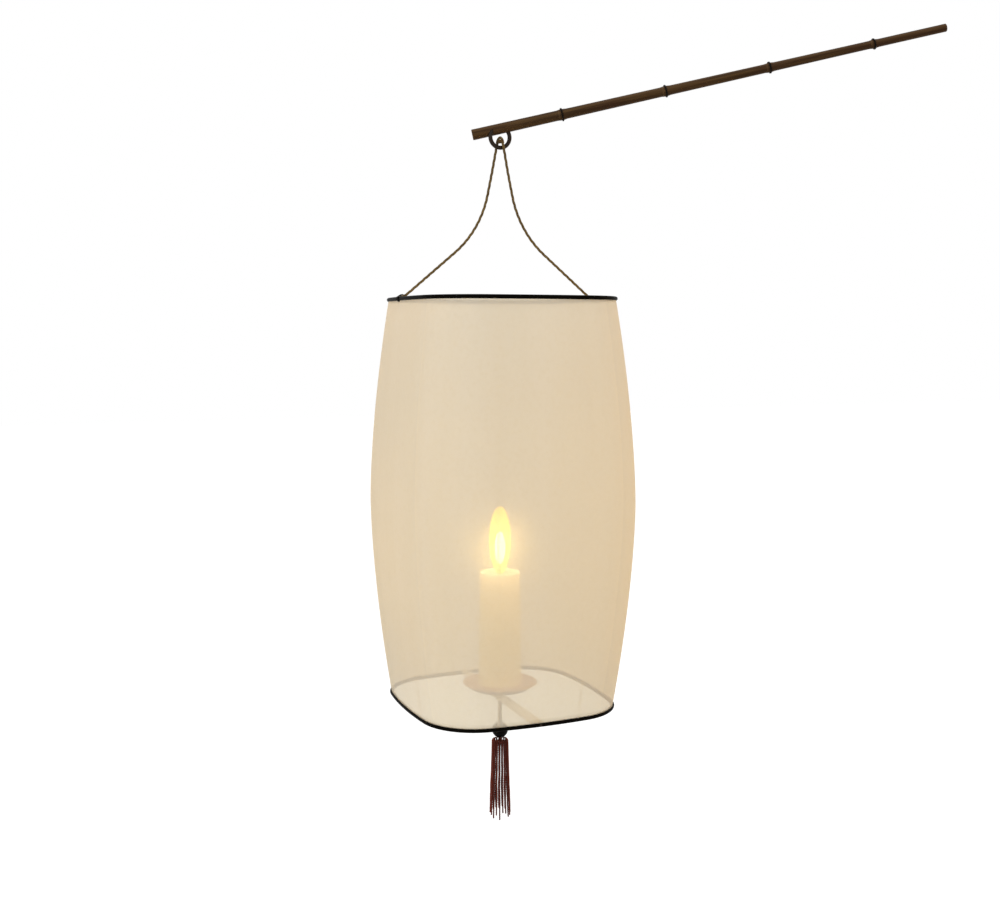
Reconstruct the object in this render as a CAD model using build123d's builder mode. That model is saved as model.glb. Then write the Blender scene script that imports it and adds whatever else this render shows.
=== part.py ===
"""Paper hand lantern that hangs from a bamboo carrying pole. Millimetres, +Z up.

The origin is on the pole's axis, in the middle of its grip. The lantern hangs below the pole's other end,
with the sides of its two hoops along X and Y and its bail in the XZ plane. From the lantern the pole heads to
+X and -Y and rises to the grip.

A height named ..._z is measured from the plane of the top hoop, so it is negative below that hoop.
"""

from build123d import *
import os
from math import atan2, cos, degrees, radians, sin, sqrt

# ---- Pole ----
pole_heading = 22.0  # degrees between the bail's plane and the pole, seen from above
pole_rise = 12.55  # degrees above level
grip_length = 66.0
grip_radius = 3.8
butt_radius = 5.2  # at the lantern's end
culm_bore_radius = 1.8
node_count = 4
node_spacing = 102.5
node_swell_width = 9.0
node_swell_height = 0.5
diaphragm_thickness = 3.0
lowest_node_to_ring = 61.5  # along the pole, to the lantern's axis
butt_overhang = 27.6  # along the pole, past the lantern's axis
culm_end_chamfer = 0.4

binding_width = 3.2
binding_height = 1.1
binding_clearance = 0.05

# ---- Carrying ring ----
ring_radius = 10.0  # to the middle of the iron
ring_iron_radius = 2.0
ring_drop = 8.1  # from the pole's axis down to the ring's centre
ring_clearance = 0.25  # round the iron, in its two holes in the culm

# ---- Hoops ----
hoop_half = 100.0  # from the lantern's axis to the middle of a side
side_bow_radius = 460.0
corner_radius = 53.0
hoop_radius = 2.0
shade_height = 398.6  # between the middles of the two hoops
hoop_groove_depth = 1.2
hoop_groove_clearance = 0.4  # each side of the paper
paper_end_gap = 0.1  # between the paper's edge and the groove's floor

# ---- Paper ----
paper_thickness = 0.5
belly = 18.3  # how much further out the paper is half way down
belly_power = 1.65  # 2 is a round belly, 1 is a straight taper
shade_sections = 7

# ---- Ribs ----
rib_width = 1.6  # along the paper
rib_thickness = 1.2
rib_gap = 0.3  # between a rib and the paper
rib_count = 8
rib_socket_clearance = 0.15
rib_end_gap = 0.5  # between a rib's end and the middle of the hoop
rib_socket_gap = 0.2  # between a socket's end and a rib's end

# ---- Bail ----
bail_height = 146.3  # from the top hoop to the middle of the ring's bar
bail_radius = 1.25
bail_foot_gap = 0.22  # between the foot and the hoop
bail_foot_lean = 44.0  # degrees above level, from the hoop's middle to the foot
bail_foot_run = 14.0  # along the hoop
bail_foot_bend = 5.0
shoulder_out = 20.3
shoulder_up = 66.5
shoulder_bend = 100.0
throat_out = 8.4
throat_below_bar = 24.3
throat_bend = 60.0
strand_gap = 0.75  # between a strand and the side of the ring's bar
strand_out = 1.9
strand_above_bar = 1.5
strand_bend = 12.0
crown_out = 0.9
crown_half_gap = 0.55  # half the gap between the strands in the crown
crown_above_bar = 9.45
crown_bend = 2.1

crown_thread = 0.4  # thickness of the thread outside the strands
crown_binding_below = 0.6  # below the top of the ring's bar
crown_binding_height = 6.2
crown_seat_clearance = 0.3
seat_reach = 6.0  # of the hollow seat, each way along the bar
thread_clearance = 0.05

# ---- Lashings at the bail's feet ----
lashing_thread = 0.6
lashing_length = 6.0
lashing_start = 7.0  # from the bail's plane, along the hoop
lashing_hoop_clearance = 0.25
lashing_foot_clearance = 0.15
lashing_slot_clearance = 0.2  # in the paper

# ---- Crossbar and its nails ----
crossbar_width = 9.0
crossbar_inset = 0.2  # its faces lie this far inside the hoop's top and foot
crossbar_end_clearance = 0.1
nail_radius = 0.65
nail_length = 14.0
nail_head_radius = 1.3
nail_head_height = 0.5
nail_clearance = 0.05
nail_end_gap = 1.0  # past the nail's point, in the crossbar

# ---- Dish ----
dish_rim_radius = 37.4
dish_foot_radius = 28.6
dish_height = 6.5
dish_floor_depth = 1.5
dish_lip = 1.6
dish_lip_rise = 0.6  # the lip is rounded over
dish_above_hoop = 9.5  # from the bottom hoop's middle to the dish's foot
dish_bore_clearance = 0.15

# ---- Spindle and its pin ----
spindle_radius = 2.0
spindle_bore_clearance = 0.1
pricket_length = 22.0
pricket_taper = 13.0
pricket_tip_radius = 0.3
flange_radius = 6.0
flange_thickness = 1.2
collar_radius = 4.0
collar_thickness = 1.5
neck_radius = 0.9  # the thin end that goes through the bead
eye_radius = 2.2  # to the middle of the wire
eye_above_bead_foot = 2.2  # the eye's centre
cotter_radius = 0.6
cotter_length = 9.0
cotter_gap = 0.1  # below the crossbar

# ---- Bead ----
bead_radius = 8.1
bead_below_hoop = 34.0  # the bead's centre
bead_seat_width = 0.4  # round the spindle
bead_bore_clearance = 0.15
bead_recess_clearance = 0.9  # round the spindle's eye
bead_recess_headroom = 0.6  # above the eye
bead_recess_chamfer = 0.5

# ---- Candle and wick ----
candle_top_radius = 20.0
candle_foot_radius = 21.5
candle_height = 113.7
candle_edge_fillet = 1.4
candle_pool_radius = 17.0
candle_pool_depth = 1.8
candle_pool_roundness = 0.75  # share of the depth that is reached half way in
candle_bore_clearance = 0.3
candle_bore_spare = 1.5  # above the pricket's tip
wick_radius = 0.8
wick_above_candle = 7.5
wick_in_wax = 14.0
wick_clearance = 0.05
wick_fillet = 0.4

# ---- Tassel ----
loop_cord_radius = 0.8
loop_side_gap = 0.2  # between the loop and the eye's wire
loop_seat_gap = 0.15
loop_sunk = 0.25  # how deep the loop's lower bend is let into the core's foot
tassel_core_radius = 6.0
tassel_core_thickness = 2.6
tassel_core_fillet = 0.8
tassel_top_radius = 8.9
tassel_flat_radius = 3.0
tassel_shoulder = 4.1
tassel_shoulder_swell = 0.76  # share of the top radius where the shoulder bends most
tassel_shoulder_drop = 0.28  # share of the shoulder's height there
tassel_foot_radius = 11.0
tassel_length = 82.9
tassel_gap = 2.2  # below the bead
tassel_core_cover = 1.6  # strands over the core
cord_clearance = 0.05

# ---- Where the lantern hangs ----
pole_direction = Vector(
    cos(radians(pole_rise)) * cos(radians(pole_heading)),
    -cos(radians(pole_rise)) * sin(radians(pole_heading)),
    sin(radians(pole_rise)),
)
highest_node = -grip_length / 2 - node_swell_width / 2
node_places = [highest_node - i * node_spacing for i in range(node_count)]
ring_place = node_places[-1] - lowest_node_to_ring
butt_place = ring_place - butt_overhang
culm_end = grip_length / 2 + culm_end_chamfer

ring_centre = pole_direction * ring_place - Vector(0, 0, ring_drop)
bar_z = bail_height
lantern = Plane(ring_centre - Vector(0, 0, ring_radius + bail_height))
lantern_axis = Axis(lantern.origin, (0, 0, 1))
bottom_z = -shade_height
ring_z = bar_z + ring_radius

pole_side = Vector(-sin(radians(pole_heading)), -cos(radians(pole_heading)), 0)
pole_plane = Plane((0, 0, 0), x_dir=pole_direction, z_dir=pole_side)
pole_axis = Axis((0, 0, 0), pole_direction)


def in_lantern(x, y, z):
    """A point given from the middle of the top hoop."""
    return lantern.origin + Vector(x, y, z)


def upright(heading, origin=(0, 0, 0)):
    """The vertical plane through origin whose x points to heading, in degrees, and whose y points up."""
    turn = radians(heading)
    return Plane(in_lantern(*origin), x_dir=(cos(turn), sin(turn), 0), z_dir=(sin(turn), -cos(turn), 0))


def start_plane(line):
    """The plane across the start of a path, for the section that is swept along it."""
    return Plane(line @ 0, z_dir=line % 0)


def culm_radius(place):
    """The culm tapers from the butt to the highest node, and is straight from there on."""
    taper_length = highest_node - butt_place
    share = min(max((highest_node - place) / taper_length, 0), 1)
    return grip_radius + (butt_radius - grip_radius) * share


def spread(z):
    """How many times wider than a hoop the paper is at this height."""
    from_middle = abs(2 * z / shade_height + 1)
    return 1 + belly / hoop_half * (1 - from_middle**belly_power)


def rounded_square(half):
    """The outline of a hoop, or the like shape at another size: four bowed sides and four round corners."""
    scale = half / hoop_half
    bow_centre = side_bow_radius - hoop_half
    reach = side_bow_radius - corner_radius
    corner_centre = (sqrt(2 * reach**2 - bow_centre**2) - bow_centre) / 2
    turn = atan2(corner_centre, corner_centre + bow_centre)
    join_x = (side_bow_radius * cos(turn) - bow_centre) * scale
    join_y = side_bow_radius * sin(turn) * scale
    corner = (corner_centre + corner_radius / sqrt(2)) * scale
    for quarter in range(4):
        c, s = round(cos(radians(90 * quarter))), round(sin(radians(90 * quarter)))
        start, side, join, middle, end = [
            (x * c - y * s, x * s + y * c)
            for x, y in [(join_x, -join_y), (half, 0), (join_x, join_y), (corner, corner), (join_y, join_x)]
        ]
        ThreePointArc(start, side, join)
        ThreePointArc(join, middle, end)


def outline_point(heading):
    """How far out a hoop's bowed side is at this heading, and the heading of the outline's normal there."""
    side = 90 * round(heading / 90)
    turn = radians(heading - side)
    bow_centre = side_bow_radius - hoop_half
    distance = sqrt(side_bow_radius**2 - (bow_centre * sin(turn)) ** 2) - bow_centre * cos(turn)
    normal = side + degrees(atan2(distance * sin(turn), distance * cos(turn) + bow_centre))
    return distance, normal


# ---- Pole: the culm is hollow between its nodes, and the ring's two holes are drilled on a curve ----
with BuildPart() as pole_culm:
    with BuildSketch(pole_plane):
        with BuildLine():
            Polyline(
                (butt_place, 0),
                (butt_place, butt_radius - culm_end_chamfer),
                (butt_place + culm_end_chamfer, butt_radius),
                (highest_node, grip_radius),
                (culm_end - culm_end_chamfer, grip_radius),
                (culm_end, grip_radius - culm_end_chamfer),
                (culm_end, 0),
                close=True,
            )
        make_face()
        for place in node_places:
            left, right = place - node_swell_width / 2, place + node_swell_width / 2
            with BuildLine():
                swell = ThreePointArc(
                    (left, culm_radius(left)),
                    (place, culm_radius(place) + node_swell_height),
                    (right, culm_radius(right)),
                )
                Polyline(swell @ 1, (right, 0), (left, 0), swell @ 0)
            make_face()
    revolve(axis=pole_axis)
    bore_ends = [culm_end] + node_places + [butt_place]
    for upper, lower in zip(bore_ends, bore_ends[1:]):
        top = upper if upper == culm_end else upper - diaphragm_thickness / 2
        foot = lower if lower == butt_place else lower + diaphragm_thickness / 2
        with BuildSketch(Plane(pole_direction * foot, z_dir=pole_direction)):
            Circle(culm_bore_radius)
        extrude(amount=top - foot, mode=Mode.SUBTRACT)
    with BuildSketch(lantern.offset(ring_z)):
        with Locations((ring_radius, 0)):
            Circle(ring_iron_radius + ring_clearance)
    revolve(axis=Axis(ring_centre, (0, 1, 0)), mode=Mode.SUBTRACT)
pole_culm.part.label = "pole_culm"

node_bindings = []
for number, place in enumerate(reversed(node_places), start=1):
    inner = culm_radius(place) + node_swell_height + binding_clearance
    with BuildPart() as node_binding:
        with BuildSketch(pole_plane):
            with Locations((place, inner + binding_height / 2)):
                band = Rectangle(binding_width, binding_height)
            fillet(band.vertices().group_by(Axis.Y)[-1], binding_height / 2)
        revolve(axis=pole_axis)
    node_binding.part.label = f"node_binding_{number}"
    node_bindings.append(node_binding.part)

# ---- Carrying ring ----
with BuildPart() as carrying_ring:
    with BuildSketch(lantern.offset(ring_z)):
        with Locations((ring_radius, 0)):
            Circle(ring_iron_radius)
    revolve(axis=Axis(ring_centre, (0, 1, 0)))
carrying_ring.part.label = "carrying_ring"

# ---- Bail: one strand passes the ring's bar in front, the other behind ----
foot_reach = hoop_radius + bail_radius + bail_foot_gap
bail_foot_in = foot_reach * cos(radians(bail_foot_lean))
bail_foot_up = foot_reach * sin(radians(bail_foot_lean))
strand_beside_bar = ring_iron_radius + bail_radius + strand_gap
crown_beside = bail_radius + crown_half_gap
half_route = [
    (hoop_half - bail_foot_in, -bail_foot_run, bail_foot_up),
    (hoop_half - bail_foot_in, 0, bail_foot_up),
    (shoulder_out, 0, shoulder_up),
    (throat_out, 0, bar_z - throat_below_bar),
    (strand_out, -strand_beside_bar, bar_z + strand_above_bar),
    (crown_out, -crown_beside, bar_z + crown_above_bar),
]
half_bends = [bail_foot_bend, shoulder_bend, throat_bend, strand_bend, crown_bend]
bail_route = half_route + [(-x, -y, z) for x, y, z in reversed(half_route)]
bail_bends = half_bends + half_bends[::-1]

with BuildPart() as bail:
    with BuildLine() as bail_line:
        FilletPolyline(*[in_lantern(*point) for point in bail_route], radius=bail_bends)
    with BuildSketch(start_plane(bail_line.line)):
        Circle(bail_radius)
    sweep(path=bail_line.line)
bail.part.label = "bail"

with BuildPart(mode=Mode.PRIVATE) as bail_room:
    with BuildSketch(start_plane(bail_line.line)):
        Circle(bail_radius + thread_clearance)
    sweep(path=bail_line.line)

with BuildPart() as crown_binding:
    binding_z = bar_z + ring_iron_radius - crown_binding_below
    strand_heading = degrees(atan2(-strand_beside_bar, strand_out))
    strand_reach = sqrt(strand_out**2 + strand_beside_bar**2)
    crown_reach = sqrt(crown_out**2 + crown_beside**2)
    end_share = crown_binding_height / (crown_above_bar - strand_above_bar)
    top_reach = strand_reach + (crown_reach - strand_reach) * end_share
    band_width = 2 * (bail_radius + crown_thread)
    for z, reach in [(binding_z, strand_reach), (binding_z + crown_binding_height, top_reach)]:
        turn = radians(strand_heading)
        with BuildSketch(Plane(in_lantern(0, 0, z), x_dir=(cos(turn), sin(turn), 0), z_dir=(0, 0, 1))):
            SlotOverall(2 * reach + band_width, band_width)
    loft()
    add(bail_room.part, mode=Mode.SUBTRACT)
    seat_radius = ring_iron_radius + crown_seat_clearance
    seat_rise = ring_radius - sqrt(ring_radius**2 - seat_reach**2)
    with BuildSketch(upright(0, (0, 0, bar_z))):
        with BuildLine():
            Line((-seat_reach, seat_radius + seat_rise), (-seat_reach, 0))
            Line((-seat_reach, 0), (seat_reach, 0))
            Line((seat_reach, 0), (seat_reach, seat_radius + seat_rise))
            ThreePointArc(
                (seat_reach, seat_radius + seat_rise),
                (0, seat_radius),
                (-seat_reach, seat_radius + seat_rise),
            )
        make_face()
    revolve(axis=Axis(in_lantern(0, 0, bar_z), (1, 0, 0)), mode=Mode.SUBTRACT)
crown_binding.part.label = "crown_binding"

# ---- Lashings: each goes round the hoop and the bail's foot beside it ----
lashings = []
lashing_slots = []
for name, side in [("bail_lashing_right", 1), ("bail_lashing_left", -1)]:
    lashing_plane = Plane(
        in_lantern(side * hoop_half, -side * lashing_start, 0), x_dir=(side, 0, 0), z_dir=(0, -side, 0)
    )
    for grow, kept in [(0, lashings), (lashing_slot_clearance, lashing_slots)]:
        with BuildPart() as lashing:
            with BuildSketch(lashing_plane.offset(-grow)):
                Circle(hoop_radius + lashing_hoop_clearance)
                with Locations((-bail_foot_in, bail_foot_up)):
                    Circle(bail_radius + lashing_foot_clearance)
                make_hull()
                offset(amount=lashing_thread + grow)
            extrude(amount=lashing_length + 2 * grow)
            if not grow:
                with BuildSketch(lashing_plane):
                    Circle(hoop_radius + lashing_hoop_clearance)
                    with Locations((-bail_foot_in, bail_foot_up)):
                        Circle(bail_radius + lashing_foot_clearance)
                    make_hull()
                extrude(amount=lashing_length, mode=Mode.SUBTRACT)
        lashing.part.label = name
        kept.append(lashing.part)

# ---- Hoops: round rods with a groove for the paper and a socket for each rib ----
rib_inset = (paper_thickness + rib_thickness) / 2 + rib_gap
rib_headings = [360 / rib_count * (i + 0.5) for i in range(rib_count)]


def rib_point(heading, z):
    """The middle of a rib at this height."""
    distance, normal = outline_point(heading)
    x = spread(z) * distance * cos(radians(heading)) - rib_inset * cos(radians(normal))
    y = spread(z) * distance * sin(radians(heading)) - rib_inset * sin(radians(normal))
    return x, y


nail_places = [("crossbar_nail_front", -90), ("crossbar_nail_rear", 90)]
hoops = []
for name, hoop_z, inward in [("top_hoop", 0, -1), ("bottom_hoop", bottom_z, 1)]:
    with BuildPart() as hoop:
        with BuildLine(lantern.offset(hoop_z)) as hoop_line:
            rounded_square(hoop_half)
        with BuildSketch(start_plane(hoop_line.line)):
            Circle(hoop_radius)
        sweep(path=hoop_line.line)
        groove_half = paper_thickness / 2 + hoop_groove_clearance
        groove_middle = hoop_half * spread(hoop_groove_depth / 2 - hoop_radius)
        with BuildSketch(lantern.offset(hoop_z + inward * hoop_radius)):
            with BuildLine():
                rounded_square(groove_middle + groove_half)
            make_face()
            with BuildLine():
                rounded_square(groove_middle - groove_half)
            make_face(mode=Mode.SUBTRACT)
        extrude(amount=-inward * hoop_groove_depth, mode=Mode.SUBTRACT)
        socket_z = hoop_z + inward * (rib_end_gap - rib_socket_gap)
        mouth_z = hoop_z + inward * hoop_radius
        with BuildSketch(lantern.offset(socket_z)):
            for heading in rib_headings:
                with Locations(rib_point(heading, (socket_z + mouth_z) / 2)):
                    Rectangle(
                        rib_thickness + 2 * rib_socket_clearance,
                        rib_width + 2 * rib_socket_clearance,
                        rotation=outline_point(heading)[1],
                    )
        extrude(amount=inward * hoop_radius, mode=Mode.SUBTRACT)
        if name == "bottom_hoop":
            for _, heading in nail_places:
                with BuildSketch(upright(heading + 90, (0, 0, bottom_z))):
                    Circle(nail_radius + nail_clearance)
                extrude(amount=hoop_half + 2 * hoop_radius, mode=Mode.SUBTRACT)
    hoop.part.label = name
    hoops.append(hoop.part)

# ---- Paper: an open tube from groove to groove, slit where the lashings go through ----
paper_end = hoop_radius - hoop_groove_depth + paper_end_gap
paper_foot = bottom_z + paper_end
section_heights = [
    -paper_end + (paper_foot + paper_end) * i / (shade_sections - 1) for i in range(shade_sections)
]
with BuildPart() as shade_paper:
    for wall, mode in [(paper_thickness / 2, Mode.ADD), (-paper_thickness / 2, Mode.SUBTRACT)]:
        sections = []
        for z in section_heights:
            with BuildSketch(lantern.offset(z), mode=Mode.PRIVATE) as section:
                with BuildLine():
                    rounded_square(hoop_half * spread(z) + wall)
                make_face()
            sections.append(section.sketch)
        loft(sections, mode=mode)
    for slot in lashing_slots:
        add(slot, mode=Mode.SUBTRACT)
shade_paper.part.label = "shade_paper"

# ---- Ribs ----
ribs = []
for number, heading in enumerate(rib_headings, start=1):
    distance, normal = outline_point(heading)
    inset = (-rib_inset * cos(radians(normal)), -rib_inset * sin(radians(normal)), 0)
    rib_top, rib_foot = -rib_end_gap, bottom_z + rib_end_gap
    heights = [rib_top + (rib_foot - rib_top) * i / (shade_sections - 1) for i in range(shade_sections)]
    with BuildPart() as rib:
        with BuildLine(upright(heading, inset)) as rib_line:
            Spline(*[(spread(z) * distance, z) for z in heights])
        across = (-sin(radians(heading)), cos(radians(heading)), 0)
        with BuildSketch(Plane(rib_line.line @ 0, x_dir=across, z_dir=rib_line.line % 0)):
            Rectangle(rib_width, rib_thickness, rotation=heading - normal)
        sweep(path=rib_line.line)
    rib.part.label = f"rib_{number}"
    ribs.append(rib.part)

# ---- Crossbar, nailed through the bottom hoop at both ends ----
crossbar_thickness = 2 * (hoop_radius - crossbar_inset)
crossbar_top_z = bottom_z + crossbar_thickness / 2
end_round = hoop_radius + crossbar_end_clearance
crossbar_reach = hoop_half - sqrt(end_round**2 - (crossbar_thickness / 2) ** 2)
with BuildPart() as crossbar:
    with BuildSketch(lantern.offset(bottom_z - crossbar_thickness / 2)):
        Rectangle(crossbar_width, 2 * crossbar_reach)
        Circle(spindle_radius + spindle_bore_clearance, mode=Mode.SUBTRACT)
    extrude(amount=crossbar_thickness)
    with BuildSketch(upright(90, (-crossbar_width, 0, bottom_z))):
        with Locations((hoop_half, 0), (-hoop_half, 0)):
            Circle(end_round)
    extrude(amount=2 * crossbar_width, both=True, mode=Mode.SUBTRACT)
    for _, heading in nail_places:
        hole_end = hoop_half + hoop_radius - nail_length - nail_end_gap
        direction = sin(radians(heading))
        with BuildSketch(upright(heading + 90, (0, direction * hole_end, bottom_z))):
            Circle(nail_radius + nail_clearance)
        extrude(amount=nail_length, mode=Mode.SUBTRACT)
crossbar.part.label = "crossbar"

nails = []
for name, heading in nail_places:
    head_face = hoop_half + hoop_radius
    with BuildPart() as nail:
        with BuildSketch(upright(heading, (0, 0, bottom_z))):
            with BuildLine():
                Polyline(
                    (head_face - nail_length, 0),
                    (head_face - nail_length + 2 * nail_radius, nail_radius),
                    (head_face, nail_radius),
                    (head_face, nail_head_radius),
                    (head_face + nail_head_height / 2, nail_head_radius),
                    (head_face + nail_head_height, nail_head_radius / 2),
                    (head_face + nail_head_height, 0),
                    close=True,
                )
            make_face()
        revolve(axis=Axis(in_lantern(0, 0, bottom_z), (0, 1, 0)))
    nail.part.label = name
    nails.append(nail.part)

# ---- Dish ----
dish_foot_z = bottom_z + dish_above_hoop
dish_rim_z = dish_foot_z + dish_height
dish_floor_z = dish_rim_z - dish_floor_depth
with BuildPart() as dish:
    with BuildSketch(upright(0)):
        bore = spindle_radius + dish_bore_clearance
        with BuildLine():
            lip_z = dish_rim_z - dish_lip_rise
            inner_lip = dish_rim_radius - dish_lip
            Polyline(
                (inner_lip, lip_z),
                (inner_lip - dish_floor_depth, dish_floor_z),
                (bore, dish_floor_z),
                (bore, dish_foot_z),
                (dish_foot_radius, dish_foot_z),
                (dish_rim_radius, lip_z),
            )
            lip_middle = (dish_rim_radius - dish_lip / 2, dish_rim_z)
            ThreePointArc((dish_rim_radius, lip_z), lip_middle, (inner_lip, lip_z))
        make_face()
    revolve(axis=lantern_axis)
dish.part.label = "dish"

# ---- Spindle: pricket, flange under the dish, collar on the crossbar, neck and eye ----
bead_seat_radius = spindle_radius + bead_seat_width
bead_z = bottom_z - bead_below_hoop
bead_top_z = bead_z + sqrt(bead_radius**2 - bead_seat_radius**2)
bead_foot_z = bead_z - bead_radius
eye_z = bead_foot_z + eye_above_bead_foot
pricket_z = dish_floor_z + pricket_length
with BuildPart() as spindle:
    with BuildSketch(upright(0)):
        with BuildLine():
            Polyline(
                (0, pricket_z),
                (pricket_tip_radius, pricket_z),
                (spindle_radius, pricket_z - pricket_taper),
                (spindle_radius, dish_foot_z),
                (flange_radius, dish_foot_z),
                (flange_radius, dish_foot_z - flange_thickness),
                (spindle_radius, dish_foot_z - flange_thickness),
                (spindle_radius, crossbar_top_z + collar_thickness),
                (collar_radius, crossbar_top_z + collar_thickness),
                (collar_radius, crossbar_top_z),
                (spindle_radius, crossbar_top_z),
                (spindle_radius, bead_top_z),
                (neck_radius, bead_top_z),
                (neck_radius, eye_z + eye_radius),
                (0, eye_z + eye_radius),
                close=True,
            )
        make_face()
    revolve(axis=lantern_axis)
    with BuildSketch(lantern.offset(eye_z)):
        with Locations((eye_radius, 0)):
            Circle(neck_radius)
    revolve(axis=Axis(in_lantern(0, 0, eye_z), (0, 1, 0)))
    cotter_z = bottom_z - crossbar_thickness / 2 - cotter_gap - cotter_radius
    with BuildSketch(upright(90, (-cotter_length / 2, 0, cotter_z))):
        Circle(cotter_radius + nail_clearance)
    extrude(amount=cotter_length, mode=Mode.SUBTRACT)
spindle.part.label = "spindle"

with BuildPart() as spindle_cotter:
    with BuildSketch(upright(90, (-cotter_length / 2, 0, cotter_z))):
        Circle(cotter_radius)
    extrude(amount=cotter_length)
spindle_cotter.part.label = "spindle_cotter"

# ---- Bead ----
with BuildPart() as bead:
    with BuildSketch(upright(0, (0, 0, bead_z))):
        with BuildLine():
            seat = (bead_seat_radius, bead_top_z - bead_z)
            bead_recess_radius = eye_radius + neck_radius + bead_recess_clearance
            mouth = (bead_recess_radius, -sqrt(bead_radius**2 - bead_recess_radius**2))
            recess_top = eye_z - bead_z + eye_radius + neck_radius + bead_recess_headroom
            neck_bore = neck_radius + bead_bore_clearance
            ThreePointArc(seat, (bead_radius, 0), mouth)
            Polyline(
                mouth,
                (bead_recess_radius, recess_top),
                (neck_bore, recess_top),
                (neck_bore, seat[1]),
                seat,
            )
        make_face()
    revolve(axis=lantern_axis)
    mouth_edge = bead.edges().filter_by(GeomType.CIRCLE).group_by(Axis.Z)[0]
    chamfer(mouth_edge, bead_recess_chamfer)
bead.part.label = "bead"

# ---- Candle and wick ----
candle_top_z = dish_floor_z + candle_height
with BuildPart() as candle:
    with BuildSketch(upright(0)):
        with BuildLine():
            pool_z = candle_top_z - candle_pool_depth
            wick_bore = wick_radius + wick_clearance
            Polyline(
                (wick_bore, pool_z),
                (wick_bore, pool_z - wick_in_wax),
                (0, pool_z - wick_in_wax),
                (0, pricket_z + candle_bore_spare),
                (spindle_radius + candle_bore_clearance, pricket_z + candle_bore_spare),
                (spindle_radius + candle_bore_clearance, dish_floor_z),
                (candle_foot_radius, dish_floor_z),
                (candle_top_radius, candle_top_z),
                (candle_pool_radius, candle_top_z),
            )
            ThreePointArc(
                (candle_pool_radius, candle_top_z),
                (candle_pool_radius / 2, candle_top_z - candle_pool_roundness * candle_pool_depth),
                (wick_bore, pool_z),
            )
        make_face()
    revolve(axis=lantern_axis)
    top_edge = candle.edges().filter_by(GeomType.CIRCLE).group_by(Axis.Z)[-1]
    fillet(top_edge.sort_by(SortBy.RADIUS)[-1], candle_edge_fillet)
candle.part.label = "candle"

with BuildPart() as wick:
    with BuildSketch(lantern.offset(pool_z - wick_in_wax)):
        Circle(wick_radius)
    extrude(amount=wick_in_wax + candle_pool_depth + wick_above_candle)
    fillet(wick.edges().group_by(Axis.Z)[-1], wick_fillet)
wick.part.label = "wick"

# ---- Tassel: a loop of cord in the spindle's eye, a turned core, and the strands that hang over it ----
pivot_z = eye_z - eye_radius
tassel_top_z = bead_foot_z - tassel_gap
core_top_z = tassel_top_z - tassel_core_cover
loop_half_width = neck_radius + loop_cord_radius + loop_side_gap
loop_top_z = pivot_z + neck_radius + loop_cord_radius + loop_seat_gap - loop_half_width
loop_foot_z = core_top_z - tassel_core_thickness + loop_sunk + loop_half_width - loop_cord_radius


def loop_of_cord(radius):
    """The loop, swept along its two bends and two straight sides."""
    with BuildPart(mode=Mode.PRIVATE) as loop:
        with BuildLine(upright(90)) as loop_line:
            w = loop_half_width
            Line((-w, loop_foot_z), (-w, loop_top_z))
            ThreePointArc((-w, loop_top_z), (0, loop_top_z + w), (w, loop_top_z))
            Line((w, loop_top_z), (w, loop_foot_z))
            ThreePointArc((w, loop_foot_z), (0, loop_foot_z - w), (-w, loop_foot_z))
        with BuildSketch(start_plane(loop_line.line)):
            Circle(radius)
        sweep(path=loop_line.line)
    return loop.part


with BuildPart() as tassel_loop:
    add(loop_of_cord(loop_cord_radius))
tassel_loop.part.label = "tassel_loop"

with BuildPart() as tassel_core:
    with BuildSketch(lantern.offset(core_top_z - tassel_core_thickness)):
        Circle(tassel_core_radius)
    extrude(amount=tassel_core_thickness)
    fillet(tassel_core.edges(), tassel_core_fillet)
    add(loop_of_cord(loop_cord_radius + cord_clearance), mode=Mode.SUBTRACT)
tassel_core.part.label = "tassel_core"

with BuildPart() as tassel_strands:
    with BuildSketch(upright(0)):
        with BuildLine():
            Polyline(
                (tassel_top_radius, tassel_top_z - tassel_shoulder),
                (tassel_foot_radius, tassel_top_z - tassel_length),
                (0, tassel_top_z - tassel_length),
                (0, tassel_top_z),
                (tassel_flat_radius, tassel_top_z),
            )
            ThreePointArc(
                (tassel_flat_radius, tassel_top_z),
                (
                    tassel_shoulder_swell * tassel_top_radius,
                    tassel_top_z - tassel_shoulder_drop * tassel_shoulder,
                ),
                (tassel_top_radius, tassel_top_z - tassel_shoulder),
            )
        make_face()
    revolve(axis=lantern_axis)
    with BuildSketch(lantern.offset(core_top_z - tassel_core_thickness - cord_clearance)):
        Circle(tassel_core_radius + cord_clearance)
    extrude(amount=tassel_core_thickness + 2 * cord_clearance, mode=Mode.SUBTRACT)
    add(loop_of_cord(loop_cord_radius + cord_clearance), mode=Mode.SUBTRACT)
tassel_strands.part.label = "tassel_strands"

# ---- Write one STEP file per piece ----
pieces = [
    pole_culm.part,
    *node_bindings,
    carrying_ring.part,
    bail.part,
    crown_binding.part,
    *lashings,
    *hoops,
    shade_paper.part,
    *ribs,
    crossbar.part,
    *nails,
    dish.part,
    spindle.part,
    spindle_cotter.part,
    bead.part,
    candle.part,
    wick.part,
    tassel_loop.part,
    tassel_core.part,
    tassel_strands.part,
]
os.makedirs("parts", exist_ok=True)
for piece in pieces:
    export_step(piece, f"parts/{piece.label}.step")

print("lantern axis, top hoop:", lantern.origin)
print("ring centre:", ring_centre, " bar:", in_lantern(0, 0, bar_z))
print("tassel pivot:", in_lantern(0, 0, pivot_z))
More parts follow.
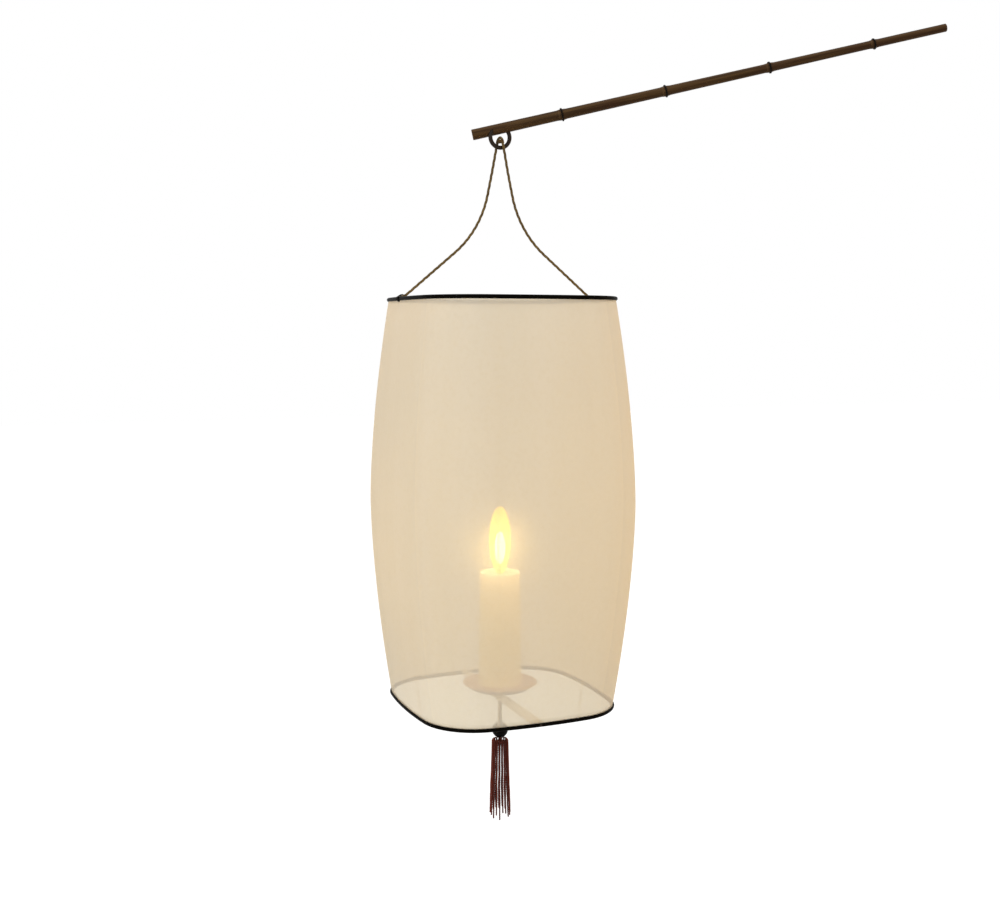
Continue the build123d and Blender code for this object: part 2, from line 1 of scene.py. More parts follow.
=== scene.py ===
# %% [markdown]
# # A paper lantern on a bamboo pole
#
# The lantern is an open tube of paper between two lacquered hoops. A twisted cane bail carries it from an
# iron ring, and the ring goes through the end of a bamboo pole. Inside, a candle stands on a wooden dish,
# and a tassel hangs below. The frame holds every piece at its real size, in metres. This script gives each
# piece its finish, and makes anew the pieces that a plain solid can't show: paper, twisted cane, wound
# thread and silk.

from math import atan2, cos, hypot, pi, radians, sin, sqrt

import bpy
from mathutils import Matrix, Vector, noise


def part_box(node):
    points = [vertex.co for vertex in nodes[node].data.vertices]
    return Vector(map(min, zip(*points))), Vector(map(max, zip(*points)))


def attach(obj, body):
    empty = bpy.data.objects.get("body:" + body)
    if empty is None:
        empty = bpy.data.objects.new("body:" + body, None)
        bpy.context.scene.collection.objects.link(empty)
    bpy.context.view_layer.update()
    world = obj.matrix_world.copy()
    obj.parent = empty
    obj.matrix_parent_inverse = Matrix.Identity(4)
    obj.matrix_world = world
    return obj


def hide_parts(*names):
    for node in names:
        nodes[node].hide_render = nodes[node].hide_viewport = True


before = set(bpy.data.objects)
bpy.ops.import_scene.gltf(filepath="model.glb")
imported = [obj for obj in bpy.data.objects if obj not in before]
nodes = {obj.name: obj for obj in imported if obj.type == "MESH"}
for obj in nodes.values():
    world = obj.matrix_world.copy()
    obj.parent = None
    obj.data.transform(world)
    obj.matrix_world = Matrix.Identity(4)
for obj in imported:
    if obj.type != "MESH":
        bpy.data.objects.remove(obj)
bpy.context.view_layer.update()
mm = 0.001

# %% [markdown]
# ## Where things are
#
# Most places are measured from the middle of the top hoop. The hoops, the ring and the bead are symmetric,
# so their boxes give that middle, the height of the ring's bar and the bead's foot.

# %% Measure the frame
hoop_radius = 2.0 * mm
ring_iron_radius = 2.0 * mm


def middle(node):
    """The middle of a node's box."""
    low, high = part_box(node)
    return (low + high) / 2


lantern = middle("top_hoop")
lantern.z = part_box("top_hoop")[1].z - hoop_radius
shade_height = lantern.z - (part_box("bottom_hoop")[0].z + hoop_radius)
bar_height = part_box("carrying_ring")[0].z + ring_iron_radius - lantern.z
bead_foot_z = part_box("bead")[0].z
candle_top_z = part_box("candle")[1].z
wick_top_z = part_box("wick")[1].z
binding_names = [f"node_binding_{number}" for number in range(1, 5)]
binding_centres = [middle(name) for name in binding_names]
pole_direction = (binding_centres[-1] - binding_centres[0]).normalized()
print("the lantern hangs at", [round(value, 4) for value in lantern])

# %% [markdown]
# ## The camera
#
# The camera stands a little above the lantern's middle, on the pole's near side, and looks slightly down.
# Its direction is given as a heading and a pitch, which `to_track_quat` turns into a rotation.

# %% Set up the camera
camera_place = Vector((-0.83771, -1.01158, -0.28497))
camera_heading = radians(22.045)
camera_pitch = radians(5.302)
focal_length = 45.61


def shown(name, data):
    """An object for this data, at the origin, in the scene."""
    made = bpy.data.objects.new(name, data)
    bpy.context.scene.collection.objects.link(made)
    return made


camera = shown("camera", bpy.data.cameras.new("camera"))
camera.data.lens = focal_length
camera.data.sensor_width = 36
looks_along = Vector((
    sin(camera_heading) * cos(camera_pitch),
    cos(camera_heading) * cos(camera_pitch),
    -sin(camera_pitch),
))
camera.location = camera_place
camera.rotation_euler = looks_along.to_track_quat("-Z", "Y").to_euler()
bpy.context.scene.camera = camera
bpy.context.scene.view_settings.view_transform = "Standard"
print("the camera is", round((camera_place - lantern).length, 3), "m from the top hoop")

# %% [markdown]
# ## Node trees as arithmetic
#
# Shader nodes and Geometry Nodes are linked boxes, which are slow to read as code. `Wire` wraps one output
# socket. Adding or multiplying wires makes the Math nodes, and `node` makes any other kind: first its
# settings, then the values or wires of its sockets.


# %% Wrap a socket
class Wire:
    """The value that leaves one socket of a node tree."""

    def __init__(self, tree, socket=None):
        self.tree = tree
        self.socket = socket

    def node(self, kind, sockets=None, output=0, stops=None, **settings):
        """Adds a node. Its settings come first, then its sockets. The wire of one output comes back."""
        made = self.tree.nodes.new(kind)
        for name, value in settings.items():
            setattr(made, name, value)
        if stops:
            elements = made.color_ramp.elements
            while len(elements) < len(stops):
                elements.new(1.0)
            for element, (place, *colour) in zip(elements, stops):
                element.position = place
                element.color = (*colour, 1)
        for name, value in (sockets or {}).items():
            feed(made.inputs[name], value)
        return Wire(self.tree, made.outputs[output]) if len(made.outputs) else None

    def other(self, output):
        """Another output of the node that this wire leaves."""
        return Wire(self.tree, self.socket.node.outputs[output])

    def math(self, operation, a, b=0.0):
        return self.node("ShaderNodeMath", {0: a, 1: b}, operation=operation)

    def vector(self, operation, a, b=(0, 0, 0), output="Vector", **sockets):
        sockets = {0: a, 1: b, **sockets}
        return self.node("ShaderNodeVectorMath", sockets, output, operation=operation)

    def __add__(self, value):
        return self.math("ADD", self, value)

    def __sub__(self, value):
        return self.math("SUBTRACT", self, value)

    def __mul__(self, value):
        return self.math("MULTIPLY", self, value)

    def __truediv__(self, value):
        return self.math("DIVIDE", self, value)

    def __rsub__(self, value):
        return self.math("SUBTRACT", value, self)

    __radd__ = __add__
    __rmul__ = __mul__


def feed(socket, value):
    """Links a wire, or each wire of a list, to a socket, or writes a constant on it."""
    for one in value if isinstance(value, list) else [value]:
        if isinstance(one, Wire):
            one.tree.links.new(one.socket, socket)
        else:
            socket.default_value = one


def linear(red, green, blue):
    """A colour as a screen shows it, 0 to 255, turned into the light that a node tree works in."""
    parts = [value / 255 for value in (red, green, blue)]
    return tuple(p / 12.92 if p <= 0.04045 else ((p + 0.055) / 1.055) ** 2.4 for p in parts) + (1.0,)


# %% [markdown]
# ## Floor, surroundings and lamps
#
# A pale studio: white all round to the eye, and soft light from above. The floor and the world show white to
# camera, glossy and transmitted rays, and are darker to the rays that light the lantern. That keeps
# undersides dark, as they are over a studio floor, without more light on the object. The floor lies far
# enough below for a look at the lantern from underneath.

# %% Tell what a ray sees
white = (1, 1, 1, 1)


def empty_tree(owner):
    """A wire on the emptied node tree of a material or a world."""
    owner.use_nodes = True
    owner.node_tree.nodes.clear()
    return Wire(owner.node_tree)


def mix(share, first, second):
    """The first shader where share is 0, the second where it is 1."""
    return first.node("ShaderNodeMixShader", {0: share, 1: first, 2: second})


def is_seen(wire):
    """1 for the rays that show the surroundings, 0 for those that only carry their light."""
    path = wire.node("ShaderNodeLightPath", output="Is Camera Ray")
    seen = wire.math("MAXIMUM", path, path.other("Is Glossy Ray"))
    return wire.math("MAXIMUM", seen, path.other("Is Transmission Ray"))


# %% Make the floor
floor_drop = 1.15
floor_half = 15.0


def floor_finish():
    """White where the lamps reach it, and a little darker in the object's shadow."""
    material = bpy.data.materials.new("studio_floor")
    wire = empty_tree(material)
    glow = wire.node("ShaderNodeEmission", {"Color": white, "Strength": 0.78})
    pale = wire.node("ShaderNodeBsdfDiffuse", {"Color": (0.42, 0.42, 0.42, 1)})
    seen = wire.node("ShaderNodeAddShader", {0: glow, 1: pale})
    lighting = wire.node("ShaderNodeBsdfDiffuse", {"Color": (0.2, 0.19, 0.18, 1)})
    wire.node("ShaderNodeOutputMaterial", {"Surface": mix(is_seen(wire), lighting, seen)})
    return material


def shaped(name, points, faces, *finishes):
    """A smooth mesh with these finishes, as an object."""
    mesh = bpy.data.meshes.new(name)
    mesh.from_pydata(points, [], faces)
    mesh.shade_smooth()
    for finish in finishes:
        mesh.materials.append(finish)
    return shown(name, mesh)


corners = [(x * floor_half, y * floor_half, 0) for x, y in [(-1, -1), (1, -1), (1, 1), (-1, 1)]]
floor = shaped("floor", corners, [(0, 1, 2, 3)], floor_finish())
floor.location = (lantern.x, lantern.y, lantern.z - floor_drop)

# %% Make the world
world = bpy.data.worlds.new("studio")
sky = empty_tree(world)
direction = sky.node("ShaderNodeTexCoord", output="Generated")
height = direction.node("ShaderNodeSeparateXYZ", {0: direction}, output="Z")
grey_by_height = [(0.0, 0.05), (0.46, 0.12), (0.56, 0.5), (1.0, 0.95)]
greys = [(place, grey, grey, grey) for place, grey in grey_by_height]
gradient = sky.node("ShaderNodeValToRGB", {"Fac": height * 0.5 + 0.5}, stops=greys)
soft = sky.node("ShaderNodeBackground", {"Color": gradient})
bright = sky.node("ShaderNodeBackground", {"Color": white})
sky.node("ShaderNodeOutputWorld", {"Surface": mix(is_seen(sky), soft, bright)})
bpy.context.scene.world = world


# %% Hang the lamps
def lamp(name, kind, place, power, colour):
    made = shown(name, bpy.data.lights.new(name, kind))
    made.location = place
    made.data.energy = power
    made.data.color = colour
    return made


def area_lamp(name, place, size, power, colour):
    """A square soft lamp, given from the top hoop's middle, that shines at the lantern's middle."""
    made = lamp(name, "AREA", lantern + Vector(place), power, colour)
    made.data.size = size
    aim = lantern - Vector((0, 0, shade_height / 2)) - made.location
    made.rotation_euler = aim.to_track_quat("-Z", "Y").to_euler()


area_lamp("overhead", (0.2, -0.3, 2.2), size=2.0, power=7.6, colour=(1, 0.98, 0.95))
area_lamp("front_left", (-2.1, -1.5, 0.3), size=1.6, power=24.0, colour=(0.9, 0.95, 1.0))
area_lamp("warm_right", (2.2, -0.6, 0.4), size=1.2, power=13.7, colour=(1, 0.5, 0.04))

# %% [markdown]
# ## Finishes
#
# Each finish starts from one Principled shader. Patterns read Object coordinates, which are the frame's own
# metres, so a noise of scale 1000 has features of about a millimetre. Short helpers make the nodes that
# nearly every finish uses.


# %% Start and paint a finish
def paint(shader, **sockets):
    """Feeds wires or constants to a shader's sockets, which are named with _ for each space."""
    for name, value in sockets.items():
        feed(shader.inputs[name.replace("_", " ")], value)


def start_finish(name, **constants):
    """A new material: its Principled shader with these constants, and the wire of Object coordinates."""
    material = bpy.data.materials.new(name)
    material.use_nodes = True
    shader = material.node_tree.nodes["Principled BSDF"]
    paint(shader, **constants)
    return material, shader, Wire(material.node_tree).node("ShaderNodeTexCoord", output="Object")


def relief(shader, height, distance):
    """Bump on a shader's normal, as deep as distance where height goes from 0 to 1."""
    paint(shader, Normal=height.node("ShaderNodeBump", {"Height": height, "Distance": distance}))


def light_of(material, shader):
    """The wire of what a shader gives back."""
    return Wire(material.node_tree, shader.outputs[0])


def show(material, surface):
    """Makes a shader's wire the surface of a material."""
    feed(material.node_tree.nodes["Material Output"].inputs["Surface"], surface)


def see_through(wire, colour=white):
    return wire.node("ShaderNodeBsdfTransparent", {"Color": colour})


# %% Draw patterns
def height_of(place):
    return place.node("ShaderNodeSeparateXYZ", {0: place}, output="Z")


def stretched(place, x, y, z):
    """The place with each axis scaled, so that a noise on it runs longer along the small ones."""
    return place.node("ShaderNodeMapping", {"Vector": place, "Scale": (x, y, z)})


def cloud(place, scale, detail=2.0, roughness=0.5):
    """Noise from 0 to 1."""
    sockets = {"Vector": place, "Scale": scale, "Detail": detail, "Roughness": roughness}
    return place.node("ShaderNodeTexNoise", sockets)


def blend_colours(share, first, second):
    """The first colour where share is 0, the second where it is 1."""
    return share.node("ShaderNodeMix", {0: share, 6: first, 7: second}, output=2, data_type="RGBA")


def fade(value, start, end):
    """Rises smoothly from 0 at start to 1 at end."""
    sockets = {"Value": value, "From Min": start, "From Max": end}
    return value.node("ShaderNodeMapRange", sockets, interpolation_type="SMOOTHSTEP")


# %% [markdown]
# ### Smoked bamboo
#
# A culm that hung in hearth smoke is dark brown, redder in patches, with long fibres and a waxy shine.
# Beside each node stays the pale scar of a fallen sheath. The pole is not along an axis, so dot products
# with its direction and two others across it give the coordinate along the culm and the two across.
# Ping-pong of the coordinate along it repeats the scar at each node.

# %% Finish the pole
node_spacing = (binding_centres[-1] - binding_centres[0]).length / (len(binding_centres) - 1)
scar_shift = 2.9 * mm
scar_half = 0.45 * mm
fibre_squeeze = 0.03


def dot(place, axis):
    return place.vector("DOT_PRODUCT", place, tuple(axis), output="Value")


def bamboo_finish():
    material, shader, place = start_finish(
        "smoked_bamboo", Coat_Roughness=0.3, Specular_IOR_Level=0.06
    )
    side = pole_direction.cross(Vector((0, 0, 1))).normalized()
    along = dot(place, pole_direction)
    up = dot(place, side.cross(pole_direction))
    sockets = {"X": along * fibre_squeeze, "Y": dot(place, side), "Z": up}
    fibre_place = place.node("ShaderNodeCombineXYZ", sockets)
    fibres = cloud(fibre_place, 1500, detail=3.0, roughness=0.6)
    streaks = cloud(fibre_place, 380)
    patches = cloud(place, 22)
    scar_place = binding_centres[0].dot(pole_direction) - scar_shift
    from_scar = place.math("PINGPONG", (along - scar_place) / node_spacing, 0.5) * node_spacing
    scar = 1.0 - fade(from_scar, scar_half, 2 * scar_half)
    brown = blend_colours(fade(streaks, 0.3, 0.7), linear(60, 40, 20), linear(88, 64, 35))
    brown = blend_colours(fade(patches, 0.35, 0.75) * 0.45, brown, linear(64, 34, 16))
    brown = blend_colours(fade(fibres, 0.45, 0.75) * 0.3, brown, linear(108, 82, 50))
    brown = blend_colours(scar * 0.15, brown, linear(140, 112, 74))
    paint(shader, Base_Color=brown, Roughness=0.38 + fibres * 0.2, Coat_Weight=patches * 0.1)
    relief(shader, fibres + streaks * 0.6, 0.06 * mm)
    return material


# %% [markdown]
# ### Thread and cane
#
# Thread is too fine for a drawn pattern: its shape comes from the mesh, one turn beside the next. The finish
# adds only what the eye still sees at that size, uneven colour along each turn and a dull sheen. One function
# serves the lacquered thread at the nodes and the bail's feet, the hemp at its crown, and its bare cane.


# %% Finish the thread and the cane
def thread_finish(name, dark, light, grain, roughness, shine):
    """A plant fibre in two tones, with grain features per metre."""
    material, shader, place = start_finish(name, Specular_IOR_Level=shine)
    tone = cloud(place, grain, detail=3.0, roughness=0.65)
    patch = cloud(place, grain / 6, detail=1.0)
    colour = blend_colours(fade(tone * 0.7 + patch * 0.3, 0.35, 0.65), dark, light)
    paint(shader, Base_Color=colour, Roughness=roughness + tone * 0.2)
    relief(shader, tone, 0.05 * mm)
    return material


# %% [markdown]
# ### Iron
#
# The ring, the nails and the spindle are forged and blackened over charcoal. The hammer leaves soft dents a
# few millimetres wide, and the scale between them is rougher and browner.


# %% Finish the iron
def iron_finish():
    material, shader, place = start_finish("black_iron", Metallic=0.25, Specular_IOR_Level=0.2)
    dents = cloud(place, 260, detail=1.0)
    scale = cloud(place, 1600, detail=4.0, roughness=0.7)
    colour = blend_colours(fade(scale, 0.35, 0.7), linear(26, 19, 13), linear(48, 35, 24))
    paint(shader, Base_Color=colour, Roughness=0.42 + scale * 0.25)
    relief(shader, dents + scale * 0.12, 0.35 * mm)
    return material


# %% [markdown]
# ### Black lacquer
#
# The hoops and the bead are lacquered. Deep black reflects a white studio as grey if its specular level is
# left at 0.5, so the level is low and the shine stays in narrow highlights. A little dust and the brush's
# long marks keep the surface from looking like plastic.


# %% Finish the hoops and the bead
def lacquer_finish(name, tone, roughness, shine):
    material, shader, place = start_finish(name, Specular_IOR_Level=shine)
    dust = cloud(place, 420, detail=5.0, roughness=0.7)
    brush = cloud(stretched(place, 1, 1, 8), 120)
    colour = blend_colours(fade(dust, 0.5, 0.85), tone, linear(28, 22, 15))
    paint(shader, Base_Color=colour, Roughness=roughness + dust * 0.18)
    relief(shader, brush + dust * 0.15, 0.05 * mm)
    return material


# %% [markdown]
# ### Split bamboo
#
# The ribs and the crossbar are split from pale bamboo, with fibres along each stick, so one function takes
# the axis that the fibres follow. Light goes through a thin split, so a part of the finish is translucent.
# Behind lit paper the ribs nearly vanish, which a mostly clear finish gives them. The crossbar is in plain
# view from below, so it is only slightly clear.

# %% Finish the sticks
through_share = 0.6
rib_clearness = 0.8
bar_clearness = 0.15
stick_squeeze = 0.04


def split_bamboo(name, fibre_axis, clearness):
    material, shader, place = start_finish(name, Specular_IOR_Level=0.3)
    squeeze = [stick_squeeze if axis == fibre_axis else 1.0 for axis in "XYZ"]
    fibres = cloud(stretched(place, *squeeze), 1800, detail=3.0, roughness=0.6)
    patches = fade(cloud(place, 45), 0.4, 0.75)
    colour = blend_colours(fade(fibres, 0.35, 0.7), linear(247, 240, 221), linear(236, 221, 191))
    colour = blend_colours(patches * 0.35, colour, linear(224, 201, 160))
    paint(shader, Base_Color=colour, Roughness=0.5 + fibres * 0.2)
    relief(shader, fibres, 0.06 * mm)
    let_through = place.node("ShaderNodeBsdfTranslucent", {"Color": (1.0, 0.95, 0.85, 1)})
    glowing = mix(through_share, light_of(material, shader), let_through)
    show(material, mix(clearness, glowing, see_through(place)))
    return material


# %% [markdown]
# ### Turned wood
#
# The candle's dish is turned from pale wood. Its grain is growth
# rings that the turning cut through: rings about an axis far from the dish, which give long arcs over its
# floor. Faces that look up show the grain. Faces that look down are painted dark brown, a painted shade for
# the dish's shaded side and underside, and faces that look sideways get half of each. The object's own normal
# tells which way a face looks, because it goes with the dish at every pose, where the world's normal would
# not.

# %% Finish the dish
heart_place = (0.09, -0.14, 0)
growth_width = 2.6 * mm


def turned_wood():
    material, shader, place = start_finish("turned_wood", Specular_IOR_Level=0.2)
    heart = lantern + Vector(heart_place)
    centred = place.node("ShaderNodeMapping", {"Vector": place, "Location": tuple(-heart)})
    warp = cloud(stretched(centred, 1, 1, 0.2), 18)
    flat = place.vector("MULTIPLY", centred, (1, 1, 0))
    from_heart = place.vector("LENGTH", flat, output="Value")
    rings = place.math("PINGPONG", from_heart / growth_width + warp * 3.0, 0.5) * 2.0
    pores = cloud(stretched(centred, 1, 1, 0.1), 1500, detail=3.0, roughness=0.7)
    grain = blend_colours(fade(rings, 0.1, 0.9), linear(226, 184, 134), linear(204, 156, 106))
    grain = blend_colours(fade(pores, 0.5, 0.8) * 0.5, grain, linear(150, 104, 64))
    # Painted shade: faces that look down get a dark brown in place of the grain, whatever light falls on
    # them.
    upward_unshaded = fade(height_of(place.node("ShaderNodeTexCoord", output="Normal")), -0.1, 0.1)
    colour = blend_colours(upward_unshaded, linear(46, 32, 19), grain)
    paint(shader, Base_Color=colour, Roughness=0.4 + pores * 0.25)
    relief(shader, rings * 0.4 + pores, 0.07 * mm)
    return material


# %% [markdown]
# ### Wax and wick
#
# Wax near a flame is lit from inside. Light that scatters in it costs many samples, so the glow is an
# emission that fades with the distance below the candle's top. The wick is charred where it burns.

# %% Finish the candle
glow_depth = 62 * mm
char_length = 5 * mm
ember_length = 1.6 * mm
wax_glow = [
    (0.0, 1.0, 0.8, 0.45),
    (0.02, 0.55, 0.4, 0.2),
    (0.25, 0.33, 0.24, 0.11),
    (0.6, 0.2, 0.15, 0.05),
    (1.0, 0.11, 0.085, 0.02),
]


def wax_finish():
    material, shader, place = start_finish("wax", Emission_Strength=2.2, Specular_IOR_Level=0.4)
    below_top = (candle_top_z - height_of(place)) / glow_depth
    mottle = cloud(place, 70, detail=3.0)
    pits = cloud(place, 600)
    ivory = blend_colours(fade(mottle, 0.3, 0.7), linear(240, 224, 174), linear(228, 206, 150))
    glow = place.node("ShaderNodeValToRGB", {"Fac": below_top}, stops=wax_glow)
    paint(shader, Base_Color=ivory, Emission_Color=glow, Roughness=0.35 + mottle * 0.2)
    relief(shader, mottle + pits * 0.2, 0.3 * mm)
    return material


def wick_finish():
    material, shader, place = start_finish("wick_cotton", Emission_Strength=1.0)
    height = height_of(place)
    char = fade(height, wick_top_z - char_length, wick_top_z - char_length / 2)
    ply = cloud(stretched(place, 1, 1, 0.3), 2600)
    cotton = blend_colours(ply, linear(206, 186, 150), linear(150, 124, 88))
    ember = fade(height, wick_top_z - ember_length, wick_top_z)
    red_glow = blend_colours(ember, (0, 0, 0, 1), (1.0, 0.25, 0.03, 1))
    colour = blend_colours(char, cotton, linear(22, 16, 12))
    paint(shader, Base_Color=colour, Emission_Color=red_glow)
    relief(shader, ply, 0.2 * mm)
    return material


# %% [markdown]
# ### Silk
#
# The tassel's silk is dark red-brown. Each strand stores a number from 0 to 1 when it is made, and the
# finish reads it as an attribute, so that neighbours differ in tone.


# %% Finish the silk
def silk_finish():
    material, shader, place = start_finish(
        "tassel_silk", Sheen_Weight=0.12, Sheen_Roughness=0.4, Specular_IOR_Level=0.15
    )
    tone = place.node("ShaderNodeAttribute", output="Fac", attribute_name="strand_tone")
    thread = cloud(place, 1300)
    share = fade(tone * 0.65 + thread * 0.35, 0.2, 0.8)
    colour = blend_colours(share, linear(78, 23, 11), linear(128, 50, 29))
    paint(shader, Base_Color=colour, Roughness=0.5 + thread * 0.15)
    relief(shader, thread, 0.08 * mm)
    return material


# %% [markdown]
# ### Paper
#
# Handmade paper does four things with light. A part goes straight through, which keeps the candle's outline
# sharp. A part is bent on its way, which makes the halo round the flame: two Refraction shaders do that,
# rough, and bending opposite ways, so that the halo stays centred. A part is spread to the far side, a
# Translucent shader, and the rest is thrown back, the Principled shader, which also carries the fibres. The
# wall is a closed shell. Its outer faces do all four, and its inner faces are clear, so that light is
# filtered once.

# %% Finish the paper
straight_share = 0.2
haze_share = 0.07
spread_share = 0.42
haze_roughness = 1.0
haze_bend = 1.22


def washi_finish():
    material, shader, place = start_finish("washi", Specular_IOR_Level=0.1, Roughness=0.8)
    bands = cloud(stretched(place, 1, 1, 0.04), 26, detail=1.0)
    pulp = cloud(place, 220, detail=4.0, roughness=0.6)
    wander = cloud(place, 75, roughness=0.55)
    fibre = 1.0 - fade(place.math("ABSOLUTE", wander - 0.5), 0.003, 0.011)
    paper = blend_colours(fade(bands, 0.3, 0.7), linear(241, 228, 213), linear(237, 223, 205))
    paper = blend_colours(fade(pulp, 0.4, 0.75) * 0.3, paper, linear(230, 211, 182))
    paint(shader, Base_Color=blend_colours(fibre * 0.25, paper, linear(248, 233, 210)))
    relief(shader, pulp + fibre * 0.6, 0.12 * mm)
    passed_on = place.node("ShaderNodeBsdfTranslucent", {"Color": (0.95, 0.92, 0.85, 1)})
    body = mix(spread_share, light_of(material, shader), passed_on)
    bent = {"Color": (1.0, 0.75, 0.18, 1), "Roughness": haze_roughness}
    halves = [
        place.node("ShaderNodeBsdfRefraction", {**bent, "IOR": bend}, distribution="BECKMANN")
        for bend in (haze_bend, 1 / haze_bend)
    ]
    soft = mix(haze_share, body, mix(0.5, *halves))
    show(material, mix(straight_share, soft, see_through(place, (0.96, 0.9, 0.73, 1))))
    return material


def clear_finish():
    material = bpy.data.materials.new("washi_inner_face")
    wire = empty_tree(material)
    wire.node("ShaderNodeOutputMaterial", {"Surface": see_through(wire)})
    return material


# %% [markdown]
# ### Flame
#
# A flame gives light and has no surface to light, so its Principled shader is black and dull, and only
# emits. It is mixed with a clear shader by the kind of ray. Straight rays see the outer flame half clear and
# the core nearly clear. Rays that the paper bent see the core alone, in full, which makes a round halo
# instead of one as tall as the flame. Rays that have already bounced pass through both, because a small
# bright thing gives them only sparkles: the lamp in the flame does the lighting.


# %% Finish the flame
def flame_finish(name, stops, low, high, strength, straight_clear, bent_clear):
    """Light whose colour runs through stops from low to high, clear by a share to straight and bent rays."""
    dull_black = {"Base_Color": (0, 0, 0, 1), "Specular_IOR_Level": 0, "Roughness": 1}
    material, shader, place = start_finish(name, Emission_Strength=strength, **dull_black)
    share = (height_of(place) - low) / (high - low)
    paint(shader, Emission_Color=place.node("ShaderNodeValToRGB", {"Fac": share}, stops=stops))
    path = place.node("ShaderNodeLightPath", output="Ray Depth")
    deep = place.math("GREATER_THAN", path, 1.5)
    bounced = place.math("MAXIMUM", deep, path.other("Is Diffuse Ray"))
    first = path.other("Is Camera Ray") * (straight_clear - bent_clear) + bent_clear
    clear_share = place.math("MAXIMUM", bounced, first)
    show(material, mix(clear_share, light_of(material, shader), see_through(place)))
    return material


# %% [markdown]
# ## Give the frame's own pieces their finish
#
# The frame's pieces that keep their shape only change material. The crossbar's fibres run along Y and the
# ribs' along Z. The ribs are mostly clear, so they throw no shadow on the paper.

# %% Assign finishes
black_thread = thread_finish(
    "lacquered_thread", linear(11, 8, 6), linear(25, 19, 13), grain=900, roughness=0.35, shine=0.06
)
hemp = thread_finish(
    "hemp_thread", linear(72, 52, 26), linear(118, 90, 50), grain=1400, roughness=0.7, shine=0.2
)
cane = thread_finish(
    "cane", linear(84, 64, 30), linear(124, 102, 58), grain=700, roughness=0.42, shine=0.2
)
iron = iron_finish()
hoop_lacquer = lacquer_finish("hoop_lacquer", linear(9, 7, 4), roughness=0.3, shine=0.012)
silk = silk_finish()
rib_names = [f"rib_{number}" for number in range(1, 9)]

finish_of = {
    "pole_culm": bamboo_finish(),
    "carrying_ring": iron,
    "top_hoop": hoop_lacquer,
    "bottom_hoop": hoop_lacquer,
    "crossbar": split_bamboo("split_bamboo_bar", "Y", bar_clearness),
    "crossbar_nail_front": iron,
    "crossbar_nail_rear": iron,
    "dish": turned_wood(),
    "spindle": iron,
    "spindle_cotter": iron,
    "bead": lacquer_finish("bead_lacquer", linear(11, 8, 6), roughness=0.22, shine=0.03),
    "candle": wax_finish(),
    "wick": wick_finish(),
    "tassel_loop": silk,
    "tassel_core": silk,
    **dict.fromkeys(rib_names, split_bamboo("split_bamboo_rib", "Z", rib_clearness)),
}
for name, finish in finish_of.items():
    nodes[name].data.materials.clear()
    nodes[name].data.materials.append(finish)
for name in rib_names:
    nodes[name].visible_shadow = False
print("finished", len(finish_of), "of the frame's pieces")

# %% [markdown]
# ## The paper tube
#
# In plan the tube is a square with bowed sides and round corners, wider half way down than at its hoops.
# Both shapes are arcs and a power law, so the tube is made point by point: columns of points from the top
# to the foot, in an outer wall and an inner one, closed at both rims. Its top edge dips round the lashings,
# which go through it. A slow noise moves the wall by up to a tenth of a millimetre, as paper dries over its
# ribs.

# %% Draw the hoops' outline
hoop_half = 100.0 * mm
side_bow_radius = 460.0 * mm
corner_radius = 53.0 * mm
bow_centre = side_bow_radius - hoop_half
corner_centre = (sqrt(2 * (side_bow_radius - corner_radius) ** 2 - bow_centre**2) - bow_centre) / 2
side_turn = atan2(corner_centre, corner_centre + bow_centre)


def outline_point(heading):
    """The point of the hoops' middle line whose outward side faces this heading, and that direction."""
    quarter = round(heading / (pi / 2))
    turn = heading - quarter * pi / 2
    if abs(turn) < side_turn:
        local = Vector((side_bow_radius * cos(turn) - bow_centre, side_bow_radius * sin(turn)))
    else:
        away = corner_centre if turn > 0 else -corner_centre
        local = Vector((corner_centre + corner_radius * cos(turn), away + corner_radius * sin(turn)))
    spin = Matrix.Rotation(quarter * pi / 2, 2)
    return spin @ local, Vector((cos(heading), sin(heading)))


side_steps, corner_steps = 20, 18
corner_sweep = pi / 2 - 2 * side_turn
headings = []
for quarter in range(4):
    for step in range(side_steps):
        headings.append(quarter * pi / 2 + side_turn * (2 * step / side_steps - 1))
    for step in range(corner_steps):
        headings.append(quarter * pi / 2 + side_turn + corner_sweep * step / corner_steps)
print("the outline has", len(headings), "points")

# %% Shape the wall
belly = 18.3 * mm
belly_power = 1.65
paper_thickness = 0.4 * mm
paper_end = 0.9 * mm
paper_rows = 72
unevenness = 0.12 * mm
ripples_per_metre = 30
upright_stretch = 0.4
lashing_start, lashing_length = 7.0 * mm, 6.0 * mm
slot_clearance = 0.3 * mm
slot_depth = 3.1 * mm


def spread(z):
    """How many times wider than a hoop the paper is at this height below the top hoop."""
    from_middle = abs(2 * z / shade_height + 1)
    return 1 + belly / hoop_half * (1 - from_middle**belly_power)


def beside_lashing(point):
    """The right lashing is a little to the front, the left one a little to the rear."""
    along_hoop = -point.y if point.x > 0 else point.y
    near_side = abs(point.x) > 0.9 * hoop_half
    reach = lashing_length / 2 + slot_clearance
    return near_side and abs(along_hoop - lashing_start - lashing_length / 2) < reach


def wall_points(wall):
    """The points of the wall that lies this far out from the middle of the paper."""
    points = []
    for heading in headings:
        outline, outward = outline_point(heading)
        top = -slot_depth if beside_lashing(outline) else -paper_end
        for row in range(paper_rows + 1):
            z = top + (paper_end - shade_height - top) * row / paper_rows
            place = outline * spread(z)
            slow = noise.noise(Vector((place.x, place.y, z * upright_stretch)) * ripples_per_metre)
            push = wall + unevenness * slow * sin(pi * row / paper_rows)
            place = place + outward * push
            points.append(lantern + Vector((place.x, place.y, z)))
    return points


